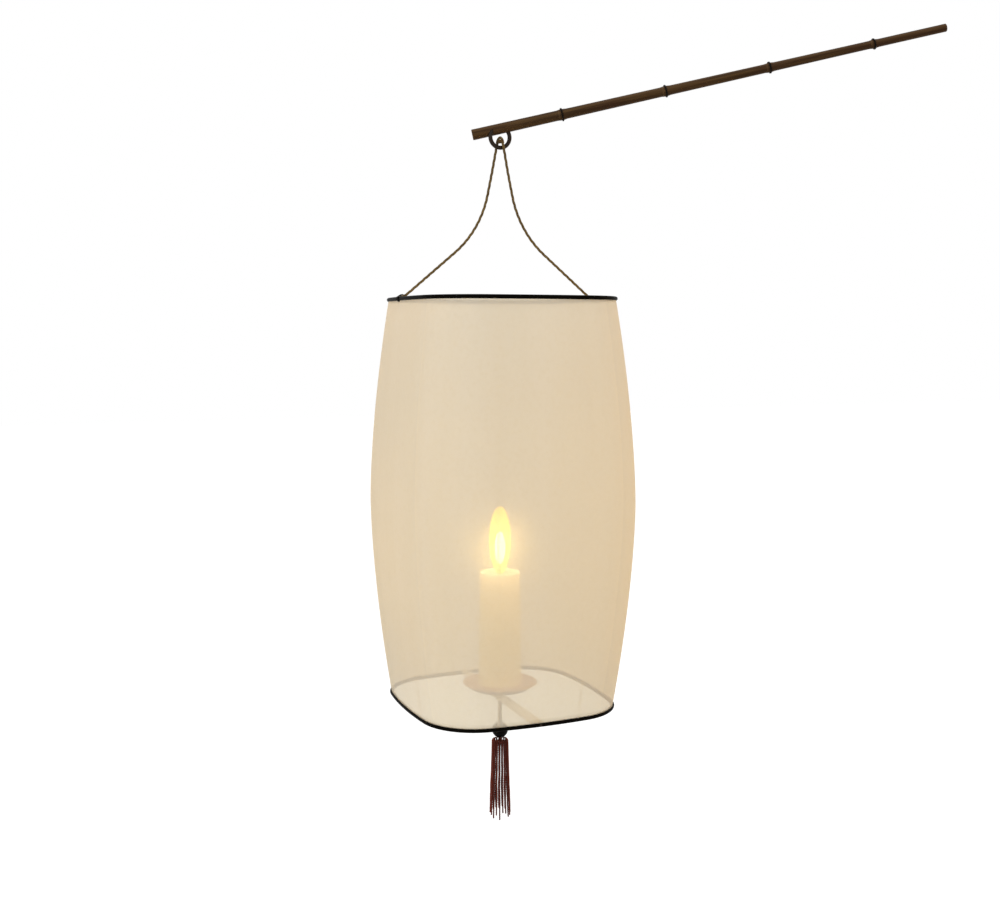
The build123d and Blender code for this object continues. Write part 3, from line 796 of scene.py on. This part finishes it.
# %% Build the tube
def paper_tube():
    """The tube's points, its faces, and which of them face inwards."""
    points = wall_points(paper_thickness / 2) + wall_points(-paper_thickness / 2)
    faces, inner_faces = [], []
    rows = paper_rows + 1
    inside = len(headings) * rows
    for column in range(len(headings)):
        here, there = column * rows, (column + 1) % len(headings) * rows
        for row in range(paper_rows):
            a, b, c, d = here + row, there + row, there + row + 1, here + row + 1
            faces.append((a, d, c, b))
            inner_faces.append(len(faces))
            faces.append((a + inside, b + inside, c + inside, d + inside))
        faces.append((here, there, there + inside, here + inside))
        here, there = here + paper_rows, there + paper_rows
        faces.append((here, here + inside, there + inside, there))
    return points, faces, inner_faces


points, faces, inner_faces = paper_tube()
tube = shaped("paper_tube", points, faces, washi_finish(), clear_finish())
for index in inner_faces:
    tube.data.polygons[index].material_index = 1
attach(tube, "lantern")
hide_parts("shade_paper")
print("the paper has", len(faces), "faces")

# %% [markdown]
# ## Geometry Nodes from a script
#
# A Geometry Nodes tree is built like a material, from the same `Wire`, and its group inputs get names and
# sizes. `grow` puts the tree on an empty mesh as a modifier, writes the inputs by their identifiers, and
# turns the result into a plain mesh. The modifier's own object and the lines drawn for it are thrown away,
# so nothing live is left on a piece.


# %% Start and end a tree
def start_tree(name, objects, sizes, counts=()):
    """A tree with these named inputs and a material, and a wire for each of them."""
    tree = bpy.data.node_groups.new(name, "GeometryNodeTree")
    kind_of = dict.fromkeys(objects, "NodeSocketObject") | dict.fromkeys(sizes, "NodeSocketFloat")
    kind_of |= dict.fromkeys(counts, "NodeSocketInt") | {"Material": "NodeSocketMaterial"}
    for label, kind in kind_of.items():
        tree.interface.new_socket(name=label, in_out="INPUT", socket_type=kind)
    tree.interface.new_socket(name="Geometry", in_out="OUTPUT", socket_type="NodeSocketGeometry")
    group = tree.nodes.new("NodeGroupInput")
    return Wire(tree), {label: Wire(tree, group.outputs[label]) for label in kind_of}


def end_tree(shape, material):
    """Smooth faces, no instances, and the finish."""
    smooth = shape.node("GeometryNodeSetShadeSmooth", {"Geometry": shape})
    whole = shape.node("GeometryNodeRealizeInstances", {"Geometry": smooth})
    finished = shape.node("GeometryNodeSetMaterial", {"Geometry": whole, "Material": material})
    shape.node("NodeGroupOutput", {0: finished})
    return shape.tree


def shape_of(source):
    """The geometry of an object that is a tree's input."""
    return source.node("GeometryNodeObjectInfo", {"Object": source}, output="Geometry")


def circle(radius, sides):
    return radius.node("GeometryNodeCurvePrimitiveCircle", {"Resolution": sides, "Radius": radius})


def sweep(curve, section, **sockets):
    """A tube with closed ends along a curve."""
    sockets = {"Curve": curve, "Profile Curve": section, "Fill Caps": True, **sockets}
    return curve.node("GeometryNodeCurveToMesh", sockets)


# %% Grow a tree into a mesh
def grow(name, tree, matrix, values):
    """The mesh that a tree makes from these values, moved to its place. Lines drawn for it go."""
    holder = shown(name + "_holder", bpy.data.meshes.new(name + "_holder"))
    modifier = holder.modifiers.new(name, "NODES")
    modifier.node_group = tree
    for item in tree.interface.items_tree:
        if item.item_type == "SOCKET" and item.in_out == "INPUT":
            modifier[item.identifier] = values[item.name]
    depsgraph = bpy.context.evaluated_depsgraph_get()
    mesh = bpy.data.meshes.new_from_object(holder.evaluated_get(depsgraph), depsgraph=depsgraph)
    holder.modifiers.remove(modifier)
    bpy.data.objects.remove(holder)
    for value in values.values():
        if isinstance(value, bpy.types.Object):
            bpy.data.objects.remove(value)
    mesh.transform(matrix)
    mesh.name = name
    print(name, "has", len(mesh.polygons), "faces")
    return shown(name, mesh)


def drawn_line(name, points, closed=False, bends=None):
    """A curve of straight runs through points. The bend wanted at each point is kept as its radius."""
    data = bpy.data.curves.new(name, "CURVE")
    data.dimensions = "3D"
    spline = data.splines.new("POLY")
    spline.points.add(len(points) - 1)
    for index, point in enumerate(points):
        spline.points[index].co = (*point, 1)
        spline.points[index].radius = bends[index] if bends else 1.0
    spline.use_cyclic_u = closed
    return shown(name, data)


# %% [markdown]
# ## Twisted cane for the bail
#
# The bail is three round strands of cane, twisted together and bent over a last. Its route is straight runs
# between points with a bend at each, and the Fillet Curve node rounds them. Each leg starts at the top hoop,
# sweeps in to the middle, passes the ring's bar on its own side, and meets the other leg above it. Each
# strand steps aside from the route by a fixed offset that turns with the length along it: the normal and
# the tangent's cross product with it are the two directions across the route.

# %% Draw the bail's route
bail_radius = 1.25 * mm
foot_gap = 0.22 * mm
foot_lean = radians(44.0)
foot_reach = hoop_radius + bail_radius + foot_gap
foot_in, foot_up = foot_reach * cos(foot_lean), foot_reach * sin(foot_lean)
foot_length = 14.0 * mm
foot_start = (hoop_half - foot_in, -foot_length, foot_up)
foot_bend = (hoop_half - foot_in, 0, foot_up)
waist = (20.3 * mm, 0, 66.5 * mm)
neck = (8.4 * mm, 0, bar_height - 24.3 * mm)
beside_bar = (1.9 * mm, -4.0 * mm, bar_height + 1.5 * mm)
above_bar = (0.9 * mm, -1.8 * mm, bar_height + 9.45 * mm)
half_route = [foot_start, foot_bend, waist, neck, beside_bar, above_bar]
half_bends = [0, 5.0 * mm, 100.0 * mm, 60.0 * mm, 12.0 * mm, 2.1 * mm]
other_half = [(-x, -y, z) for x, y, z in reversed(half_route)]
route_line = drawn_line("bail_route", half_route + other_half, bends=half_bends + half_bends[::-1])
print("the bail bends at", len(half_route + other_half) - 2, "points")


# %% Twist the bail
def twisted_cane_tree():
    sizes = ["Strand Radius", "Strand Offset", "Twist Length", "Step"]
    wire, given = start_tree("twisted_cane", ["Route"], sizes)
    bend = wire.node("GeometryNodeInputRadius")
    sockets = {"Curve": shape_of(given["Route"]), "Count": 24, "Radius": bend}
    rounded = wire.node("GeometryNodeFilletCurve", sockets, mode="POLY")
    sockets = {"Curve": rounded, "Length": given["Step"]}
    even = wire.node("GeometryNodeResampleCurve", sockets, mode="LENGTH")
    along = wire.node("GeometryNodeSplineParameter", output="Length")
    normal = wire.node("GeometryNodeInputNormal")
    tangent = wire.node("GeometryNodeInputTangent")
    across = wire.vector("CROSS_PRODUCT", tangent, normal)
    section = circle(given["Strand Radius"], sides=10)
    strands = []
    for start in (0, 2 * pi / 3, 4 * pi / 3):
        turn = along / given["Twist Length"] * (2 * pi) + start
        one_way = wire.vector("SCALE", normal, Scale=wire.math("COSINE", turn) * given["Strand Offset"])
        other_way = wire.vector("SCALE", across, Scale=wire.math("SINE", turn) * given["Strand Offset"])
        sockets = {"Geometry": even, "Offset": wire.vector("ADD", one_way, other_way)}
        moved = wire.node("GeometryNodeSetPosition", sockets)
        plain = wire.node("GeometryNodeSetCurveRadius", {"Curve": moved, "Radius": 1.0})
        strands.append(sweep(plain, section))
    return end_tree(wire.node("GeometryNodeJoinGeometry", {"Geometry": strands}), given["Material"])


bail = grow("bail_cane", twisted_cane_tree(), Matrix.Translation(lantern), {
    "Route": route_line,
    "Strand Radius": 0.74 * mm,
    "Strand Offset": 0.62 * mm,
    "Twist Length": 21 * mm,
    "Step": 0.7 * mm,
    "Material": cane,
})
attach(bail, "lantern")
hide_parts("bail")

# %% [markdown]
# ## Wound thread
#
# Thread is wound round the pole at its nodes, round the bail's crown, and round each foot of the bail and
# the hoop beside it. All of them are a helix round an outline: the outline of one circle, or of two circles
# with the thread pulled straight between them. One tree makes them all. It walks round the outline once a
# turn, and rises by the same step each time. A second outline lets the crown's winding narrow towards its
# top.

# %% Draw the outline of a winding
steps_per_turn = 48


def round_circles(circles, clearance):
    """The tight outline round one circle or several, each (x, y, radius), grown by clearance."""
    outline = []
    for step in range(steps_per_turn):
        turn = 2 * pi * step / steps_per_turn
        x, y, radius = max(circles, key=lambda c: c[0] * cos(turn) + c[1] * sin(turn) + c[2])
        reach = radius + clearance
        outline.append((x + reach * cos(turn), y + reach * sin(turn), 0))
    return outline


# %% Wind thread round an outline
def winding_tree():
    sizes = ["Turns", "Rise per Turn", "Thread Radius", "Steps per Turn"]
    wire, given = start_tree("winding", ["First Outline", "Last Outline"], sizes)
    line = wire.node("GeometryNodeCurvePrimitiveLine", {"End": (0, 0, 1)})
    count = given["Turns"] * given["Steps per Turn"] + 1.0
    even = wire.node("GeometryNodeResampleCurve", {"Curve": line, "Count": count})
    share = wire.node("GeometryNodeSplineParameter", output="Factor")
    turned = share * given["Turns"]
    round_it = wire.math("FRACT", turned)
    places = []
    for label in ("First Outline", "Last Outline"):
        sockets = {"Curves": shape_of(given[label]), "Factor": round_it}
        place = wire.node("GeometryNodeSampleCurve", sockets, output="Position", use_all_curves=True)
        places.append(place)
    sockets = {0: share, 4: places[0], 5: places[1]}
    flat = wire.node("ShaderNodeMix", sockets, output=1, data_type="VECTOR")
    x = wire.node("ShaderNodeSeparateXYZ", {0: flat})
    rise = (turned - given["Turns"] * 0.5) * given["Rise per Turn"]
    spiral = wire.node("ShaderNodeCombineXYZ", {"X": x, "Y": x.other("Y"), "Z": rise})
    moved = wire.node("GeometryNodeSetPosition", {"Geometry": even, "Position": spiral})
    return end_tree(sweep(moved, circle(given["Thread Radius"], sides=8)), given["Material"])


winding = winding_tree()


def wind(name, circles, thread, pitch, turns, matrix, finish, last_circles=None):
    """Thread of a radius, wound round circles, with its middle at the matrix's origin."""
    first = drawn_line(name + "_first", round_circles(circles, thread), closed=True)
    last = drawn_line(name + "_last", round_circles(last_circles or circles, thread), closed=True)
    return grow(name, winding, matrix, {
        "First Outline": first,
        "Last Outline": last,
        "Turns": turns,
        "Rise per Turn": pitch,
        "Thread Radius": thread,
        "Steps per Turn": float(steps_per_turn),
        "Material": finish,
    })


# %% Wind the pole's nodes
binding_width = 3.2 * mm
binding_turns = 2
node_thread = 0.42 * mm
along_pole = pole_direction.to_track_quat("Z", "Y").to_matrix().to_4x4()
for name, centre in zip(binding_names, binding_centres):
    low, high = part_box(name)
    band_outer = (high.z - low.z - binding_width * pole_direction.z) / hypot(*pole_direction.xy) / 2
    circles = [(0, 0, band_outer - 2 * node_thread)]
    matrix = Matrix.Translation(centre) @ along_pole
    pitch = binding_width / 4
    wound = wind(name + "_thread", circles, node_thread, pitch, binding_turns, matrix, black_thread)
    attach(wound, "pole")
    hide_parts(name)

# %% Wind the crown of the bail
crown_thread = 0.2 * mm
crown_foot = bar_height + ring_iron_radius + 2.4 * mm
crown_top = bar_height + 7.5 * mm
packing = 0.94


def strands_at(height):
    """The two legs of the bail at this height above the top hoop, as circles."""
    share = (height - beside_bar[2]) / (above_bar[2] - beside_bar[2])
    x, y = (low + (high - low) * share for low, high in zip(beside_bar[:2], above_bar[:2]))
    return [(x, y, bail_radius), (-x, -y, bail_radius)]


pitch = 2 * crown_thread * packing
turns = round((crown_top - crown_foot) / pitch)
matrix = Matrix.Translation(lantern + Vector((0, 0, (crown_foot + crown_top) / 2)))
crown = wind(
    "crown_thread", strands_at(crown_foot), crown_thread, pitch, turns, matrix, hemp,
    last_circles=strands_at(crown_top),
)
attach(crown, "lantern")
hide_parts("crown_binding")

# %% Lash the bail's feet to the hoop
lashing_thread = 0.29 * mm
paper_gap, cane_gap = 0.25 * mm, 0.15 * mm
along_hoop = lashing_start + lashing_length / 2
pitch = 2 * lashing_thread * packing
turns = int((lashing_length - 2 * lashing_thread) / pitch)
for name, side in [("bail_lashing_right", 1), ("bail_lashing_left", -1)]:
    circles = [(0, 0, hoop_radius + paper_gap), (-side * foot_in, foot_up, bail_radius + cane_gap)]
    middle_of_it = lantern + Vector((side * hoop_half, -side * along_hoop, 0))
    matrix = Matrix.Translation(middle_of_it) @ Matrix.Rotation(pi / 2, 4, "X")
    lashed = wind(name + "_thread", circles, lashing_thread, pitch, turns, matrix, black_thread)
    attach(lashed, "lantern")
    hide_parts(name)

# %% [markdown]
# ## The tassel
#
# Nineteen cords of silk hang in a ring over the turned core. One cord is drawn as a line, out over the
# shoulder and down, and the tree copies it round the axis. A fixed seed makes each copy a little longer or
# shorter and gives it its tone. The cord's section has three lobes and turns as it goes down, which is what
# a three-ply cord looks like, and it thins a little towards its cut end.

# %% Draw one cord
strand_count = 19
strand_radius = 0.95 * mm
bead_gap = 2.2 * mm
strand_top_z = bead_foot_z - bead_gap - strand_radius
shoulder_start, shoulder_end, foot_radius = 6.2 * mm, 7.7 * mm, 10.2 * mm
shoulder_drop = 1.6 * mm
strand_length = 78 * mm
shoulder_steps, fall_steps = 8, 40
lobe_depth = 0.14
lobe_points = 12


def one_strand():
    """From over the core, round the shoulder, and down to the foot."""
    line = []
    for step in range(shoulder_steps + 1):
        turn = pi / 2 * step / shoulder_steps
        across = shoulder_start + (shoulder_end - shoulder_start) * sin(turn)
        line.append((across, 0, -shoulder_drop * (1 - cos(turn))))
    for step in range(1, fall_steps + 1):
        share = step / fall_steps
        across = shoulder_end + (foot_radius - shoulder_end) * share
        line.append((across, 0, -shoulder_drop - (strand_length - shoulder_drop) * share))
    return line


def three_lobes():
    """The section of a three-ply cord, one unit in radius."""
    section = []
    for step in range(lobe_points):
        turn = 2 * pi * step / lobe_points
        reach = 1 - lobe_depth + lobe_depth * cos(3 * turn)
        section.append((reach * cos(turn), reach * sin(turn), 0))
    return section


strand_line = drawn_line("strand", one_strand())
lobes = drawn_line("three_lobes", three_lobes(), closed=True)
print("one cord has", len(strand_line.data.splines[0].points), "points")


# %% Copy the cord round the axis
def ring_of_cords(wire, given):
    """The drawn cord, copied round the axis, with a tone and an end of its own for each copy."""
    anchors = wire.node("GeometryNodePoints", {"Count": given["Count"]})
    index = wire.node("GeometryNodeInputIndex")
    facing = wire.node("ShaderNodeCombineXYZ", {"Z": index / given["Count"] * (2 * pi)})
    sockets = {"Points": anchors, "Instance": shape_of(given["Strand"]), "Rotation": facing}
    ring = wire.node("GeometryNodeInstanceOnPoints", sockets)
    for label, shift in [("strand_tone", 0), ("strand_end", 1)]:
        sockets = {2: 0.0, 3: 1.0, "ID": index, "Seed": given["Seed"] + shift}
        chance = wire.node("FunctionNodeRandomValue", sockets, output=1, data_type="FLOAT")
        sockets = {"Geometry": ring, "Name": label, "Value": chance}
        settings = {"data_type": "FLOAT", "domain": "INSTANCE"}
        ring = wire.node("GeometryNodeStoreNamedAttribute", sockets, **settings)
    return wire.node("GeometryNodeRealizeInstances", {"Geometry": ring})


# %% Give the cords their shape
thinning = 0.1
sway_scale = 55.0
strand_points = 110
shortening = 0.35


def tassel_tree():
    """The cords sway a little, end unevenly, twist, and thin towards their foot."""
    sizes = ["Strand Radius", "Lay Length", "Uneven Ends", "Sway"]
    wire, given = start_tree("tassel", ["Strand", "Section"], sizes, counts=["Count", "Seed"])
    lines = ring_of_cords(wire, given)
    share = wire.node("GeometryNodeSplineParameter", output="Factor")
    along = wire.node("GeometryNodeSplineParameter", output="Length")
    end = wire.node("GeometryNodeInputNamedAttribute", {"Name": "strand_end"}, data_type="FLOAT")
    place = wire.node("GeometryNodeInputPosition")
    sockets = {"Vector": place, "Scale": sway_scale, "Detail": 1.0}
    drift = wire.node("ShaderNodeTexNoise", sockets, output="Color")
    split = wire.node("ShaderNodeSeparateXYZ", {0: drift})
    sway = share * given["Sway"]
    lift = (end - shortening) * given["Uneven Ends"] * share
    sockets = {"X": (split - 0.5) * sway, "Y": (split.other("Y") - 0.5) * sway, "Z": lift}
    offset = wire.node("ShaderNodeCombineXYZ", sockets)
    moved = wire.node("GeometryNodeSetPosition", {"Geometry": lines, "Offset": offset})
    turn = along / given["Lay Length"] * (2 * pi)
    fine = wire.node("GeometryNodeResampleCurve", {"Curve": moved, "Count": strand_points})
    turned = wire.node("GeometryNodeSetCurveTilt", {"Curve": fine, "Tilt": turn})
    size = given["Strand Radius"] * (1.0 - share * thinning)
    return end_tree(sweep(turned, shape_of(given["Section"]), Scale=size), given["Material"])


# %% Hang the tassel
tassel_place = Matrix.Translation((lantern.x, lantern.y, strand_top_z))
strands = grow("tassel_silk_strands", tassel_tree(), tassel_place, {
    "Strand": strand_line,
    "Section": lobes,
    "Count": strand_count,
    "Strand Radius": strand_radius,
    "Lay Length": 7 * mm,
    "Uneven Ends": 10 * mm,
    "Sway": 2.2 * mm,
    "Seed": 4,
    "Material": silk,
})
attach(strands, "tassel")
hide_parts("tassel_strands")

# %% [markdown]
# ## The flame
#
# Two bodies of light, one in the other, each turned from an outline: a tall drop that stands in the pool of
# wax, and the white core round the wick. They don't shade the lamp that stands in them. That lamp does the
# lighting, because a small lamp makes far less noise than a small glowing mesh.

# %% Draw the flame
flame_foot = candle_top_z - 1.7 * mm
flame_widest = candle_top_z + 32.4 * mm
flame_tip = candle_top_z + 65.4 * mm
flame_half_width = 10.8 * mm
flame_lower_reach = 35.7 * mm
flame_steps = 28
tip_radius = 0.3 * mm
core_half_height = 16.4 * mm
core_half_width = 5.3 * mm
core_middle = candle_top_z + 23.9 * mm
core_steps = 20
segments = 32


def turned_body(name, profile, finish):
    """A closed shape turned about the lantern's axis. The profile is (radius, z) from its foot to its tip."""
    points, faces = [], []
    for radius, z in profile:
        for step in range(segments):
            turn = 2 * pi * step / segments
            points.append((lantern.x + radius * cos(turn), lantern.y + radius * sin(turn), z))
    points += [(lantern.x, lantern.y, profile[0][1]), (lantern.x, lantern.y, profile[-1][1])]
    foot, tip = len(points) - 2, len(points) - 1
    last = foot - segments
    for ring in range(0, last, segments):
        for step in range(segments):
            a, b = ring + step, ring + (step + 1) % segments
            faces.append((a, b, b + segments, a + segments))
    for step in range(segments):
        after = (step + 1) % segments
        faces += [(foot, after, step), (tip, last + step, last + after)]
    return shaped(name, points, faces, finish)


def flame_profile():
    """Half an oval above the widest place and a longer one below it, cut off at the foot."""
    profile = []
    for step in range(flame_steps):
        z = flame_foot + (flame_tip - flame_foot) * sin(pi / 2 * step / flame_steps)
        reach = flame_tip - flame_widest if z > flame_widest else flame_lower_reach
        profile.append((flame_half_width * (1 - ((z - flame_widest) / reach) ** 2) ** 0.5, z))
    return profile + [(tip_radius, flame_tip)]


def core_profile():
    turns = [pi * step / core_steps for step in range(1, core_steps)]
    return [(core_half_width * sin(turn), core_middle - core_half_height * cos(turn)) for turn in turns]


# %% Light the candle
outer_stops = [(0.0, 1.0, 0.54, 0.0), (0.25, 1.0, 0.66, 0.0), (0.7, 1.0, 0.69, 0.0), (1.0, 1.0, 0.58, 0.0)]
core_stops = [(0.0, 1.0, 0.88, 0.8), (1.0, 1.0, 0.9, 0.84)]
core_low, core_high = core_middle - core_half_height, core_middle + core_half_height
outer_light = flame_finish(
    "flame_outer", outer_stops, flame_foot, flame_tip, strength=4.4, straight_clear=0.5, bent_clear=1.0
)
core_light = flame_finish(
    "flame_core", core_stops, core_low, core_high, strength=32, straight_clear=0.9, bent_clear=0.0
)
outer_flame = turned_body("flame", flame_profile(), outer_light)
core_flame = turned_body("flame_core", core_profile(), core_light)
for body_of_light in (outer_flame, core_flame):
    body_of_light.visible_shadow = False
    body_of_light.visible_diffuse = False
    body_of_light.visible_glossy = False
    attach(body_of_light, "candle")

lamp_place = (lantern.x, lantern.y, flame_widest)
candle_light = lamp("candle_light", "POINT", lamp_place, power=0.036, colour=(1.0, 0.67, 0.24))
candle_light.data.shadow_soft_size = 12 * mm
candle_light.data.cycles.use_multiple_importance_sampling = False
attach(candle_light, "candle")
print("the flame is", round((flame_tip - flame_foot) / mm, 1), "mm tall")
